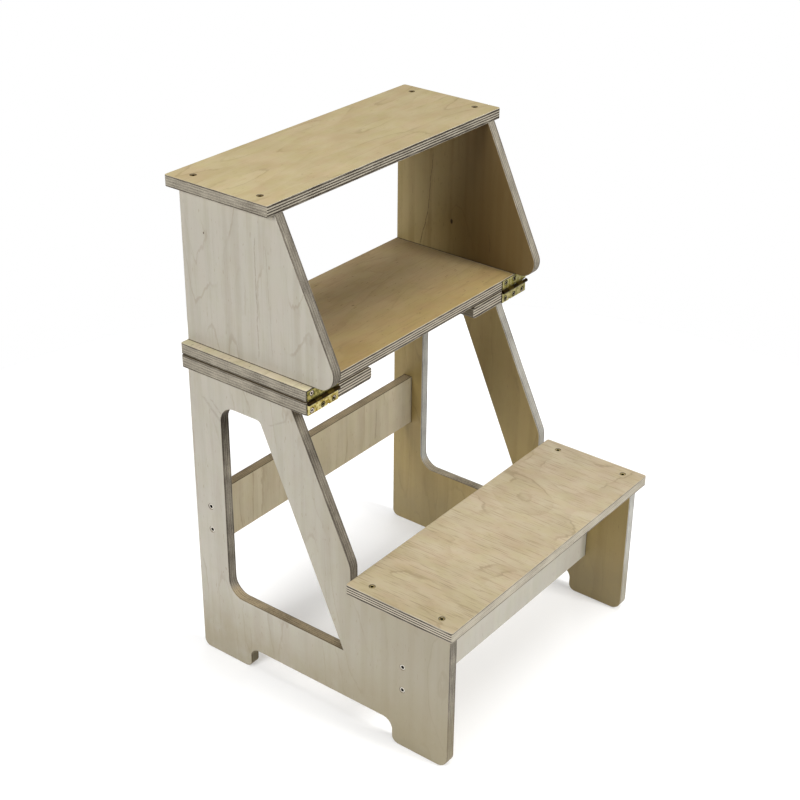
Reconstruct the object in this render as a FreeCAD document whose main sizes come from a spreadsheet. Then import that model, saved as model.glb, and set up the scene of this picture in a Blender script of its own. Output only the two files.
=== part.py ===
import FreeCAD
import Part

import math
import os

import Sketcher
from FreeCAD import Rotation, Vector

# A plywood step stool that folds over into a chair. The upper unit (two boards on
# two slanted panels) swings forward about two brass hinges until it stands upside
# down in front of the base: its middle board then lies beside the seat board.
# X runs along the steps, Y from the front to the rear, Z up. The origin is on the
# floor under the middle of the object.

# Driving dimensions, in millimetres and degrees
SIZES = {
    # Whole stool
    "overall_height": 700,
    "overall_depth": 438,
    "board_thickness": 15,
    "panel_thickness": 15,
    "side_lean": 25.3,
    "edge_rounding": 0.8,
    "board_corner_radius": 3,
    # Step boards and seat board
    "step_width": 470,
    "side_overhang": 13,
    "low_side_overhang": 10,
    "top_step_depth": 164,
    "low_step_depth": 165,
    "middle_step_height": 479,
    "middle_rear_inset": 9.5,
    "landing_offset": 3,
    "seat_board_thickness": 17,
    "seat_seam": 2,
    "grip_notch_width": 220,
    "grip_notch_depth": 45,
    "grip_notch_radius": 6,
    "grip_notch_round_over": 4.5,
    "seam_pad_diameter": 14,
    "seam_pad_inset": 40,
    # Upper side panels
    "top_rear_overhang": 10.5,
    "nose_radius": 22,
    # Base side panels
    "low_front_overhang": 10,
    "base_rear_inset": 7,
    "rear_leg_width": 53,
    "slanted_leg_width": 70,
    "cutout_lean": 24.3,
    "cutout_bottom": 108,
    "top_band_height": 44,
    "cutout_rear_radius": 24,
    "cutout_front_radius": 8,
    "foot_length": 88,
    "arch_height": 34,
    "arch_radius": 15,
    "foot_radius": 10,
    "front_foot_radius": 15,
    "knee_radius": 30,
    # Stretcher and rail
    "stretcher_height": 78,
    "stretcher_bottom": 181,
    "rail_height": 78,
    "rail_raise": 5,
    "rail_inset": 72,
    "stretcher_thickness": 15,
    # Hinges
    "hinge_length": 57,
    "hinge_end_inset": 1,
    "leaf_height": 16.5,
    "leaf_thickness": 1.5,
    "leaf_notch_radius": 2,
    "knuckle_radius": 2.6,
    "knuckle_count": 5,
    "knuckle_gap": 0.4,
    "pin_radius": 1.2,
    "pin_clearance": 0.05,
    "leaf_screw_pitch": 20.4,
    "leaf_screw_height": 11.8,
    # Clearances
    "nest_gap": 1.5,
    "fold_gap": 0.6,
    "rest_gap": 0.4,
    "notch_gap": 0.5,
    "knuckle_clearance": 0.4,
    # Screws
    "countersink_angle": 90,
    "wood_screw_length": 45,
    "wood_screw_radius": 2,
    "wood_head_diameter": 7.6,
    "wood_head_sink": 0.7,
    "hinge_screw_length": 16,
    "hinge_screw_radius": 2,
    "hinge_head_diameter": 6.8,
    "hinge_head_sink": 0.1,
    "screw_tip_gap": 0.5,
    "socket_width": 3,
    "socket_depth": 1.4,
    "screw_inset": 28.5,
    "seat_screw_corner_inset": 24.7,
    "end_screw_pitch": 36,
}

# Places that follow from the driving dimensions
PLACES = {
    # Widths
    "panel_span": "step_width - 2 * side_overhang",
    "panel_outer": "panel_span / 2",
    "panel_inner": "panel_span / 2 - panel_thickness",
    "panel_middle": "panel_span / 2 - panel_thickness / 2",
    "low_step_width": "panel_span + 2 * low_side_overhang",
    # Step boards: folded over, the top board lands on the low step
    "low_front": "-overall_depth / 2",
    "low_rear": "low_front + low_step_depth",
    "top_rear": "overall_depth / 2",
    "top_front": "top_rear - top_step_depth",
    "hinge_y": "(top_front + low_rear - landing_offset) / 2",
    "middle_front": "hinge_y + knuckle_radius + knuckle_clearance",
    "middle_rear": "top_rear - middle_rear_inset",
    "middle_step_depth": "middle_rear - middle_front",
    # Heights
    "top_underside": "overall_height - board_thickness",
    "middle_underside": "middle_step_height - board_thickness",
    "seat_top": "middle_underside - seat_seam",
    "base_top": "seat_top - seat_board_thickness",
    "hinge_z": "(middle_step_height + base_top - fold_gap) / 2",
    "low_step_height": "2 * hinge_z - overall_height - rest_gap",
    "low_underside": "low_step_height - board_thickness",
    # Upper side panels
    "upper_rear": "top_rear - top_rear_overhang",
    "upper_foot": "top_front - (top_underside - middle_step_height) * tan(side_lean)",
    # Base side panels, whose slanted edge lies along the upper panels' when folded
    "base_front": "low_front + low_front_overhang",
    "base_rear": "top_rear - base_rear_inset",
    "base_notch": "low_rear + notch_gap",
    "slant_top": "2 * hinge_y - top_front + nest_gap / cos(side_lean)"
                 " + (base_top - 2 * hinge_z + top_underside) * tan(side_lean)",
    "slant_bottom_height": "base_top - (slant_top - base_notch) / tan(side_lean)",
    "cutout_top": "base_top - top_band_height",
    "cutout_rear": "base_rear - rear_leg_width",
    "cutout_top_front": "slant_top - (base_top - cutout_top) * tan(side_lean)"
                        " + slanted_leg_width",
    "cutout_bottom_front": "cutout_top_front - (cutout_top - cutout_bottom) * tan(cutout_lean)",
    "cutout_rear_round": "min(cutout_rear_radius; (cutout_rear - cutout_top_front) / 2)",
    # Stretcher and rail
    "stretcher_y": "base_rear - rear_leg_width / 2",
    "rail_y": "base_front + rail_inset",
    "rail_bottom": "(low_underside - rail_height) / 2 + rail_raise",
    # Hinges
    "hinge_x": "step_width / 2 - hinge_end_inset - hinge_length / 2",
    "knuckle_pitch": "hinge_length / knuckle_count",
    "barrel_length": "knuckle_pitch - knuckle_gap",
    # Screws
    "wood_sink_diameter": "wood_head_diameter + 2 * wood_head_sink * tan(countersink_angle / 2)",
    "hinge_sink_diameter": "hinge_head_diameter"
                           " + 2 * hinge_head_sink * tan(countersink_angle / 2)",
    "seat_screw_front": "slant_top + seat_screw_corner_inset",
    "seat_screw_rear": "middle_rear - screw_inset",
    "seat_screw_middle": "(seat_screw_front + seat_screw_rear) / 2",
    "pin_bore": "2 * (pin_radius + pin_clearance)",
}

# Depths at which the seat board is screwed down
SEAT_SCREWS = ("seat_screw_front", "seat_screw_middle", "seat_screw_rear")

# Lengths below this, in millimetres, count as none
NEAR = 0.001

doc = FreeCAD.newDocument("FoldingStepStool")


def named(formula):
    """Write each name in a formula with the object that holds its value."""
    words = []
    word = ""
    for sign in formula + " ":
        if sign.isalnum() or sign == "_":
            word += sign
            continue
        if word in SIZES:
            word = "Sizes." + word
        elif word in PLACES:
            word = "Places." + word
        words.append(word + sign)
        word = ""
    return "".join(words).strip()


def make_sizes():
    """Put the driving dimensions in a spreadsheet, one alias each."""
    sheet = doc.addObject("Spreadsheet::Sheet", "Sizes")
    for row, (name, number) in enumerate(SIZES.items(), start=1):
        sheet.set(f"A{row}", name)
        sheet.set(f"B{row}", str(number))
        sheet.setAlias(f"B{row}", name)
    doc.recompute()


def make_places():
    """Bind each worked out place to the driving dimensions."""
    places = doc.addObject("App::VarSet", "Places")
    for name, formula in PLACES.items():
        places.addProperty("App::PropertyFloat", name, "Places")
        places.setExpression(name, named(formula))
        doc.recompute()


def make_body(label):
    """Add an empty body whose label names its file."""
    body = doc.addObject("PartDesign::Body", label)
    body.Label = label
    return body


def put(body, x_place="0", y_place="0", z_place="0", rotation=None):
    """Set a body's place, each coordinate from its formula."""
    if rotation is not None:
        body.Placement = FreeCAD.Placement(Vector(0, 0, 0), rotation)
    for axis, formula in zip("xyz", (x_place, y_place, z_place)):
        body.setExpression(f"Placement.Base.{axis}", named(formula))


def new_sketch(body, name, role, offset="0"):
    """Attach a sketch to one of the body's own origin planes."""
    sketch = body.newObject("Sketcher::SketchObject", name)
    plane = [item for item in body.Origin.OriginFeatures if item.Role == role][0]
    sketch.AttachmentSupport = [(plane, "")]
    sketch.MapMode = "FlatFace"
    sketch.setExpression("AttachmentOffset.Base.z", named(offset))
    return sketch


def fix_point(sketch, geometry, point, label, across, along):
    """Tie one point of a sketch to the formulas of its two coordinates."""
    for kind, axis, formula in (("DistanceX", -2, across), ("DistanceY", -1, along)):
        if formula == "0":
            sketch.addConstraint(Sketcher.Constraint("PointOnObject", geometry, point, axis))
            continue
        index = sketch.addConstraint(Sketcher.Constraint(kind, -1, 1, geometry, point, 1.0))
        sketch.renameConstraint(index, f"{label}_{kind}")
        sketch.setExpression(f"Constraints.{label}_{kind}", named(formula))


def draw_outline(body, name, role, corners, offset="0"):
    """Draw a closed outline through named corners, each given by two formulas."""
    sketch = new_sketch(body, name, role, offset)
    count = len(corners)
    turn = 2 * math.pi / count
    start = [Vector(math.cos(turn * i), math.sin(turn * i), 0) for i in range(count)]
    for index in range(count):
        sketch.addGeometry(Part.LineSegment(start[index], start[(index + 1) % count]), False)
    for index in range(count):
        sketch.addConstraint(Sketcher.Constraint("Coincident", index, 2, (index + 1) % count, 1))
    for index, (label, (across, along)) in enumerate(corners.items()):
        fix_point(sketch, index, 1, label, across, along)
    doc.recompute()
    return sketch


def draw_circles(body, name, role, centres, diameter, offset="0"):
    """Draw circles of one diameter round centres given by formulas."""
    sketch = new_sketch(body, name, role, offset)
    for index, (across, along) in enumerate(centres):
        start = Vector(index, index, 0)
        sketch.addGeometry(Part.Circle(start, Vector(0, 0, 1), 1.0), False)
        fix_point(sketch, index, 3, f"centre_{index}", across, along)
        place = sketch.addConstraint(Sketcher.Constraint("Diameter", index, 1.0))
        sketch.renameConstraint(place, f"diameter_{index}")
        sketch.setExpression(f"Constraints.diameter_{index}", named(diameter))
    doc.recompute()
    return sketch


def add_pad(body, name, sketch, length, reverse=False, middle=False):
    """Thicken a sketch into the body."""
    pad = body.newObject("PartDesign::Pad", name)
    pad.Profile = sketch
    pad.Midplane = middle
    pad.Reversed = reverse
    pad.setExpression("Length", named(length))
    doc.recompute()
    return pad


def add_pocket(body, name, sketch, depth=None, reverse=False, middle=False):
    """Cut a sketch out of the body and make sure that it took something away."""
    before = body.Shape.Volume
    pocket = body.newObject("PartDesign::Pocket", name)
    pocket.Profile = sketch
    pocket.Midplane = middle
    pocket.Reversed = reverse
    if depth is None:
        pocket.Type = "ThroughAll"
    else:
        pocket.setExpression("Length", named(depth))
    doc.recompute()
    if body.Shape.Volume >= before:
        raise RuntimeError(f"{body.Label}: {name} cuts nothing")
    return pocket


def add_countersunk_holes(body, name, sketch, shank, head, reverse=False):
    """Drill countersunk holes right through, with the heads at the sketch."""
    before = body.Shape.Volume
    hole = body.newObject("PartDesign::Hole", name)
    hole.Profile = sketch
    hole.DepthType = "ThroughAll"
    hole.Threaded = False
    hole.Reversed = reverse
    hole.HoleCutType = "Countersink"
    hole.HoleCutCustomValues = True
    hole.setExpression("HoleCutCountersinkAngle", named("countersink_angle"))
    hole.setExpression("Diameter", named(shank))
    hole.setExpression("HoleCutDiameter", named(head))
    doc.recompute()
    if body.Shape.Volume >= before:
        raise RuntimeError(f"{body.Label}: {name} cuts nothing")
    return hole


def round_corners(body, name, sketch, labels, corners, radius):
    """Round the edges that stand on the named corners of an outline."""
    base = body.Tip
    order = list(corners)
    normal = sketch.Placement.Rotation.multVec(Vector(0, 0, 1))
    edges = []
    for label in labels:
        corner = sketch.Placement.multVec(sketch.getPoint(order.index(label), 1))
        for number, edge in enumerate(base.Shape.Edges, start=1):
            if len(edge.Vertexes) != 2:
                continue
            run = edge.Vertexes[1].Point - edge.Vertexes[0].Point
            away = corner - edge.Vertexes[0].Point
            if run.cross(normal).Length < NEAR and away.cross(normal).Length < NEAR:
                edges.append(f"Edge{number}")
    if len(edges) != len(labels):
        raise RuntimeError(f"{body.Label}: {name} found {len(edges)} edges")
    fillet = body.newObject("PartDesign::Fillet", name)
    fillet.Base = (base, edges)
    fillet.setExpression("Radius", named(radius))
    doc.recompute()
    return fillet


def is_smooth(shape, edge):
    """Tell whether the two faces at an edge already run into each other."""
    point = edge.valueAt((edge.FirstParameter + edge.LastParameter) / 2)
    normals = [face.normalAt(*face.Surface.parameter(point))
               for face in shape.ancestorsOfType(edge, Part.Face)]
    return normals[0].cross(normals[1]).Length < NEAR


def ease_faces(body, name, direction, radius="edge_rounding", inside=None):
    """Round the outlines of the two faces that look along a direction and against it.

    With a box given as inside, only the edges that lie in it are rounded.
    """
    base = body.Tip
    shape = base.Shape
    edges = set()
    for face in shape.Faces:
        if isinstance(face.Surface, Part.Plane) and face.Surface.Axis.isParallel(direction, NEAR):
            for edge in face.Edges:
                if is_smooth(shape, edge):
                    continue
                if inside is not None and not inside.isInside(edge.BoundBox):
                    continue
                for number, other in enumerate(shape.Edges, start=1):
                    if other.isSame(edge):
                        edges.add(f"Edge{number}")
    fillet = body.newObject("PartDesign::Fillet", name)
    fillet.Base = (base, sorted(edges))
    fillet.setExpression("Radius", named(radius))
    doc.recompute()
    return fillet


def rectangle(left, right, low, high):
    """Name the four corners of a rectangle, anticlockwise from low left."""
    return {
        "low_left": (left, low),
        "low_right": (right, low),
        "high_right": (right, high),
        "high_left": (left, high),
    }


# Boards

def make_step_board(label, width, front, rear, height):
    """Make one step board, with its upper face at the given height."""
    body = make_body(label)
    corners = rectangle(f"-{width} / 2", f"{width} / 2", front, rear)
    outline = draw_outline(body, "Outline", "XY_Plane", corners)
    add_pad(body, "Board", outline, "board_thickness", reverse=True)
    round_corners(body, "Corners", outline, list(corners), corners, "board_corner_radius")
    ease_faces(body, "Edges", Vector(0, 0, 1))
    put(body, z_place=height)
    return body


def screw_grid(*depths):
    """List the screw places over the middles of both side panels."""
    return [(x_place, y_place) for x_place in ("-panel_middle", "panel_middle")
            for y_place in depths]


def add_board_screw_holes(body, spots, offset="0", reverse=False):
    """Drill countersunk holes for the wood screws through a board."""
    circles = draw_circles(body, "ScrewPlaces", "XY_Plane", spots, "2 * wood_screw_radius",
                           offset)
    add_countersunk_holes(body, "ScrewHoles", circles, "2 * wood_screw_radius",
                          "wood_sink_diameter", reverse)


def add_hinge_screw_holes(body, height):
    """Drill blind holes for both hinges' screws into a board's front edge."""
    spots = [(f"{side} * hinge_x + {step} * leaf_screw_pitch", height)
             for side in (-1, 1) for step in (-1, 0, 1)]
    circles = draw_circles(body, "HingeScrewPlaces", "XZ_Plane", spots,
                           "2 * hinge_screw_radius", offset="-middle_front")
    add_pocket(body, "HingeScrewHoles", circles, "hinge_screw_length - leaf_thickness")


def make_top_step_board():
    """Make the highest step, which is screwed down on the upper side panels."""
    body = make_step_board("top_step_board", "step_width", "top_front", "top_rear",
                           "overall_height")
    add_board_screw_holes(body, screw_grid("top_front + screw_inset", "top_rear - screw_inset"))


def make_low_step_board():
    """Make the lowest step, which is screwed down on the base side panels."""
    body = make_step_board("low_step_board", "low_step_width", "low_front", "low_rear",
                           "low_step_height")
    add_board_screw_holes(body, screw_grid("low_front + screw_inset", "low_rear - screw_inset"))


def make_middle_step_board():
    """Make the middle step, which is screwed on from below and carries the hinges."""
    body = make_step_board("middle_step_board", "step_width", "middle_front", "middle_rear",
                           "middle_step_height")
    spots = screw_grid("middle_front + screw_inset", "middle_rear - screw_inset")
    add_board_screw_holes(body, spots, offset="-board_thickness", reverse=True)
    add_hinge_screw_holes(body, "hinge_z + leaf_screw_height - middle_step_height")


def make_seat_board():
    """Make the board on top of the base, with the grip notch in its front edge.

    The notch is rounded over above and below, so that it is kind to the fingers.
    """
    body = make_body("seat_board")
    corners = {
        "front_left": ("-step_width / 2", "middle_front"),
        "notch_left": ("-grip_notch_width / 2", "middle_front"),
        "notch_inner_left": ("-grip_notch_width / 2", "middle_front + grip_notch_depth"),
        "notch_inner_right": ("grip_notch_width / 2", "middle_front + grip_notch_depth"),
        "notch_right": ("grip_notch_width / 2", "middle_front"),
        "front_right": ("step_width / 2", "middle_front"),
        "rear_right": ("step_width / 2", "middle_rear"),
        "rear_left": ("-step_width / 2", "middle_rear"),
    }
    outline = draw_outline(body, "Outline", "XY_Plane", corners)
    add_pad(body, "Board", outline, "seat_board_thickness", reverse=True)
    inner = [label for label in corners if label.startswith("notch_inner")]
    ends = [label for label in corners if not label.startswith("notch")]
    round_corners(body, "NotchCorners", outline, inner, corners, "grip_notch_radius")
    round_corners(body, "Corners", outline, ends, corners, "board_corner_radius")
    left, right = (outline.getPoint(list(corners).index(label), 1)
                   for label in ("notch_left", "notch_inner_right"))
    notch = FreeCAD.BoundBox(left.x - 1, left.y - NEAR, -body.Shape.BoundBox.ZLength - 1,
                             right.x + 1, right.y + 1, 1)
    ease_faces(body, "NotchRoundOver", Vector(0, 0, 1), "grip_notch_round_over", notch)
    ease_faces(body, "Edges", Vector(0, 0, 1))
    add_board_screw_holes(body, screw_grid(*SEAT_SCREWS))
    add_hinge_screw_holes(body, "hinge_z - leaf_screw_height - seat_top")
    put(body, z_place="seat_top")


def make_seam_pads():
    """Make the pads on the seat board that the upper unit rests on."""
    body = make_body("seam_pads")
    spots = [(f"{sign} * (panel_inner - seam_pad_inset)", y_place) for sign in (-1, 1)
             for y_place in ("middle_front + seam_pad_inset", "middle_rear - seam_pad_inset")]
    circles = draw_circles(body, "Circles", "XY_Plane", spots, "seam_pad_diameter")
    add_pad(body, "Pads", circles, "seat_seam")
    put(body, z_place="seat_top")


# Side panels

def drill_edge(body, name, spots, height, depth, reverse=False):
    """Drill pilot holes into a panel's edge, down from a height or up from it."""
    circles = draw_circles(body, name + "Places", "XY_Plane",
                           [("panel_thickness / 2", y_place) for y_place in spots],
                           "2 * wood_screw_radius", offset=height)
    add_pocket(body, name, circles, depth, reverse=reverse)


def make_upper_side_panel(side, sign):
    """Make one panel that carries the top board on the middle board."""
    body = make_body(f"upper_{side}_side_panel")
    corners = {
        "rear_foot": ("upper_rear", "middle_step_height"),
        "rear_top": ("upper_rear", "top_underside"),
        "front_top": ("top_front", "top_underside"),
        "nose": ("upper_foot", "middle_step_height"),
    }
    outline = draw_outline(body, "Outline", "YZ_Plane", corners)
    add_pad(body, "Panel", outline, "panel_thickness")
    round_corners(body, "Nose", outline, ["nose"], corners, "nose_radius")
    ease_faces(body, "Edges", Vector(1, 0, 0))
    engaged = "wood_screw_length - board_thickness"
    drill_edge(body, "TopPilots", ["top_front + screw_inset", "top_rear - screw_inset"],
               "top_underside", engaged)
    drill_edge(body, "FootPilots", ["middle_front + screw_inset", "middle_rear - screw_inset"],
               "middle_step_height", engaged, reverse=True)
    put(body, x_place="panel_inner" if sign > 0 else "-panel_outer")


def end_screw_heights(bottom, height):
    """List the heights of the two screws at the end of a stretcher."""
    return [f"{bottom} + {height} / 2 {way} end_screw_pitch / 2" for way in "-+"]


def make_base_side_panel(side, sign):
    """Make one panel of the base, with its slanted front leg, cut-out and feet."""
    body = make_body(f"base_{side}_side_panel")
    corners = {
        "rear_heel": ("base_rear", "0"),
        "rear_top": ("base_rear", "base_top"),
        "front_top": ("slant_top", "base_top"),
        "knee": ("base_notch", "slant_bottom_height"),
        "step_rear": ("base_notch", "low_underside"),
        "step_front": ("base_front", "low_underside"),
        "toe": ("base_front", "0"),
        "front_heel": ("base_front + foot_length", "0"),
        "front_arch": ("base_front + foot_length", "arch_height"),
        "rear_arch": ("base_rear - foot_length", "arch_height"),
        "rear_toe": ("base_rear - foot_length", "0"),
    }
    outline = draw_outline(body, "Outline", "YZ_Plane", corners)
    add_pad(body, "Panel", outline, "panel_thickness")
    round_corners(body, "Toe", outline, ["toe"], corners, "front_foot_radius")
    round_corners(body, "Heels", outline, ["rear_heel", "front_heel", "rear_toe"], corners,
                  "foot_radius")
    round_corners(body, "Arch", outline, ["front_arch", "rear_arch"], corners, "arch_radius")
    round_corners(body, "Knee", outline, ["knee"], corners, "knee_radius")
    window = {
        "rear_bottom": ("cutout_rear", "cutout_bottom"),
        "rear_top": ("cutout_rear", "cutout_top"),
        "front_top": ("cutout_top_front", "cutout_top"),
        "front_bottom": ("cutout_bottom_front", "cutout_bottom"),
    }
    opening = draw_outline(body, "WindowOutline", "YZ_Plane", window)
    add_pocket(body, "Window", opening, reverse=True)
    round_corners(body, "WindowRear", opening, ["rear_bottom", "rear_top"], window,
                  "cutout_rear_round")
    round_corners(body, "WindowFront", opening, ["front_top"], window, "cutout_front_radius")
    ease_faces(body, "Edges", Vector(1, 0, 0))
    drill_edge(body, "StepPilots", ["low_front + screw_inset", "low_rear - screw_inset"],
               "low_underside", "wood_screw_length - board_thickness")
    drill_edge(body, "SeatPilots", SEAT_SCREWS, "base_top",
               "wood_screw_length - seat_board_thickness")
    spots = [("stretcher_y", height)
             for height in end_screw_heights("stretcher_bottom", "stretcher_height")]
    spots += [("rail_y", height) for height in end_screw_heights("rail_bottom", "rail_height")]
    circles = draw_circles(body, "SideScrewPlaces", "YZ_Plane", spots, "2 * wood_screw_radius",
                           offset="panel_thickness" if sign > 0 else "0")
    add_countersunk_holes(body, "SideScrewHoles", circles, "2 * wood_screw_radius",
                          "wood_sink_diameter", reverse=sign < 0)
    put(body, x_place="panel_inner" if sign > 0 else "-panel_outer")


def make_stretcher(label, middle, bottom, height):
    """Make one board on edge between the side panels, with pilot holes in its ends."""
    body = make_body(label)
    corners = rectangle("-panel_inner", "panel_inner", "0", height)
    outline = draw_outline(body, "Outline", "XZ_Plane", corners)
    add_pad(body, "Board", outline, "stretcher_thickness", middle=True)
    spots = [("0", spot) for spot in end_screw_heights("0", height)]
    for end, reverse in (("-panel_inner", True), ("panel_inner", False)):
        name = "LeftPilots" if reverse else "RightPilots"
        circles = draw_circles(body, name + "Places", "YZ_Plane", spots,
                               "2 * wood_screw_radius", offset=end)
        add_pocket(body, name, circles, "wood_screw_length - panel_thickness", reverse=reverse)
    put(body, y_place=middle, z_place=bottom)


# Hinges

def make_hinge_leaf(side, sign, level, way):
    """Make one leaf with its own knuckles, drawn about the hinge axis."""
    body = make_body(f"{side}_hinge_{level}_leaf")
    back = "knuckle_radius + knuckle_clearance"
    front = f"{back} - leaf_thickness"
    near = f"{way} * ({back})"
    plate = rectangle(front, back, near, f"{way} * leaf_height")
    outline = draw_outline(body, "PlateOutline", "YZ_Plane", plate)
    add_pad(body, "Plate", outline, "hinge_length", middle=True)
    first = 1 if level == "upper" else 0
    count = f"floor((knuckle_count + {1 - first}) / 2)"
    start = f"knuckle_gap / 2 + {first} * knuckle_pitch - hinge_length / 2"
    web = rectangle(front, "knuckle_radius", "0", near)
    parts = []
    outline = draw_outline(body, "WebOutline", "YZ_Plane", web, offset=start)
    parts.append(add_pad(body, "Web", outline, "barrel_length"))
    circle = draw_circles(body, "BarrelCircle", "YZ_Plane", [("0", "0")], "2 * knuckle_radius",
                          offset=start)
    parts.append(add_pad(body, "Barrel", circle, "barrel_length"))
    row = body.newObject("PartDesign::LinearPattern", "Knuckles")
    row.Originals = parts
    row.Direction = (circle, ["N_Axis"])
    row.setExpression("Occurrences", named(count))
    row.setExpression("Length", named(f"2 * knuckle_pitch * ({count} - 1)"))
    body.Tip = row
    doc.recompute()
    bore = "2 * pin_radius" if level == "lower" else "pin_bore"
    circle = draw_circles(body, "BoreCircle", "YZ_Plane", [("0", "0")], bore)
    add_pocket(body, "Bore", circle, middle=True)
    spots = [(f"{step} * leaf_screw_pitch", f"{way} * leaf_screw_height")
             for step in (-1, 0, 1)]
    circles = draw_circles(body, "ScrewPlaces", "XZ_Plane", spots, "2 * hinge_screw_radius",
                           offset=f"-({front})")
    add_countersunk_holes(body, "ScrewHoles", circles, "2 * hinge_screw_radius",
                          "hinge_sink_diameter")
    if level == "lower":
        middle = (f"{-sign} * leaf_screw_pitch / 2", f"{way} * leaf_height")
        circle = draw_circles(body, "NotchCircle", "XZ_Plane", [middle], "2 * leaf_notch_radius",
                              offset=f"-({front})")
        add_pocket(body, "Notch", circle)
    put(body, x_place=f"{sign} * hinge_x", y_place="hinge_y", z_place="hinge_z")


def make_hinge_pin(side, sign):
    """Make the pin that joins the two leaves of one hinge."""
    body = make_body(f"{side}_hinge_pin")
    circle = draw_circles(body, "Section", "YZ_Plane", [("0", "0")], "2 * pin_radius")
    add_pad(body, "Pin", circle, "hinge_length", middle=True)
    put(body, x_place=f"{sign} * hinge_x", y_place="hinge_y", z_place="hinge_z")


# Screws

def make_screws(label, kind, rotation, place, across, along=None):
    """Make a group of countersunk screws that point down its own Z axis.

    The first screw's head is at the body's origin; across and along each give the
    number of screws and the distance from the first to the last.
    """
    body = make_body(label)
    head = f"{kind}_head_diameter / 2"
    shank = f"{kind}_screw_radius"
    sink = f"{kind}_head_sink"
    tip = f"screw_tip_gap - {kind}_screw_length"
    profile = {
        "middle_top": ("0", f"-{sink}"),
        "rim": (head, f"-{sink}"),
        "neck": (shank, f"-{sink} - ({head} - {shank}) / tan(countersink_angle / 2)"),
        "shoulder": (shank, f"{tip} + {shank}"),
        "point": ("0", tip),
    }
    outline = draw_outline(body, "Profile", "XZ_Plane", profile)
    turned = body.newObject("PartDesign::Revolution", "Turned")
    turned.Profile = outline
    turned.ReferenceAxis = (outline, ["V_Axis"])
    turned.Angle = 360
    doc.recompute()
    corners = {f"corner_{step}": (f"socket_width / sqrt(3) * cos({60 * step + 30})",
                                  f"socket_width / sqrt(3) * sin({60 * step + 30})")
               for step in range(6)}
    socket = draw_outline(body, "SocketOutline", "XY_Plane", corners, offset=f"-{sink}")
    cut = add_pocket(body, "Socket", socket, "socket_depth")
    grid = body.newObject("PartDesign::LinearPattern", "Grid")
    grid.Originals = [turned, cut]
    grid.Direction = (socket, ["H_Axis"])
    grid.Occurrences = across[0]
    grid.setExpression("Length", named(across[1]))
    if along is not None:
        grid.Direction2 = (socket, ["V_Axis"])
        grid.Occurrences2 = along[0]
        grid.setExpression("Length2", named(along[1]))
    body.Tip = grid
    doc.recompute()
    put(body, *place, rotation=rotation)


def make_all_screws():
    """Make the screws that hold the boards, the stretchers and the hinges."""
    down = Rotation()
    up = Rotation(Vector(1, 0, 0), 180)
    forward = Rotation(Vector(1, 0, 0), 90)
    span = "2 * panel_middle"
    make_screws("top_board_screws", "wood", down,
                ("-panel_middle", "top_front + screw_inset", "overall_height"),
                (2, span), (2, "top_step_depth - 2 * screw_inset"))
    make_screws("middle_board_screws", "wood", up,
                ("-panel_middle", "middle_rear - screw_inset", "middle_underside"),
                (2, span), (2, "middle_step_depth - 2 * screw_inset"))
    make_screws("low_board_screws", "wood", down,
                ("-panel_middle", "low_front + screw_inset", "low_step_height"),
                (2, span), (2, "low_step_depth - 2 * screw_inset"))
    make_screws("seat_board_screws", "wood", down,
                ("-panel_middle", "seat_screw_front", "seat_top"),
                (2, span), (len(SEAT_SCREWS), "seat_screw_rear - seat_screw_front"))
    for side, sign in (("left", -1), ("right", 1)):
        inward = Rotation(Vector(0, 1, 0), 90 * sign)
        for name, middle, bottom, height in (
                ("stretcher", "stretcher_y", "stretcher_bottom", "stretcher_height"),
                ("rail", "rail_y", "rail_bottom", "rail_height")):
            first = end_screw_heights(bottom, height)[1 if sign > 0 else 0]
            make_screws(f"{side}_{name}_screws", "wood", inward,
                        (f"{sign} * panel_outer", middle, first),
                        (2, "end_screw_pitch"))
        for level, way in (("upper", 1), ("lower", -1)):
            make_screws(f"{side}_hinge_{level}_screws", "hinge", forward,
                        (f"{sign} * hinge_x - leaf_screw_pitch",
                         "middle_front - leaf_thickness",
                         f"hinge_z + {way} * leaf_screw_height"),
                        (3, "2 * leaf_screw_pitch"))


make_sizes()
make_places()
make_top_step_board()
make_middle_step_board()
make_low_step_board()
make_seat_board()
make_seam_pads()
for side, sign in (("left", -1), ("right", 1)):
    make_upper_side_panel(side, sign)
    make_base_side_panel(side, sign)
    make_hinge_leaf(side, sign, "upper", 1)
    make_hinge_leaf(side, sign, "lower", -1)
    make_hinge_pin(side, sign)
make_stretcher("rear_stretcher", "stretcher_y", "stretcher_bottom", "stretcher_height")
make_stretcher("front_rail", "rail_y", "rail_bottom", "rail_height")
make_all_screws()
doc.recompute()

# Check everything before a file is written
for item in doc.Objects:
    if "Invalid" in item.State or "Error" in item.State:
        raise RuntimeError(f"{item.Label} failed: {item.State}")
bodies = [item for item in doc.Objects if item.isDerivedFrom("PartDesign::Body")]
for body in bodies:
    if body.Shape.isNull() or not body.Shape.isValid():
        raise RuntimeError(f"{body.Label} has no valid shape")

os.makedirs("parts", exist_ok=True)
for body in bodies:
    body.Shape.exportStep(f"parts/{body.Label}.step")
    box = body.Shape.BoundBox
    print(f"{body.Label}: {len(body.Shape.Solids)} solids, {body.Shape.Volume:.1f} mm3, "
          f"x {box.XMin:.1f} to {box.XMax:.1f}, y {box.YMin:.1f} to {box.YMax:.1f}, "
          f"z {box.ZMin:.1f} to {box.ZMax:.1f}")
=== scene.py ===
"""Folding step stool chair: its finishes, its studio and its camera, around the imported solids."""

import logging
import math
from collections.abc import Callable
from dataclasses import dataclass, replace
from enum import Enum
from functools import partial
from typing import Any

import bpy
from mathutils import Matrix, Vector

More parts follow.
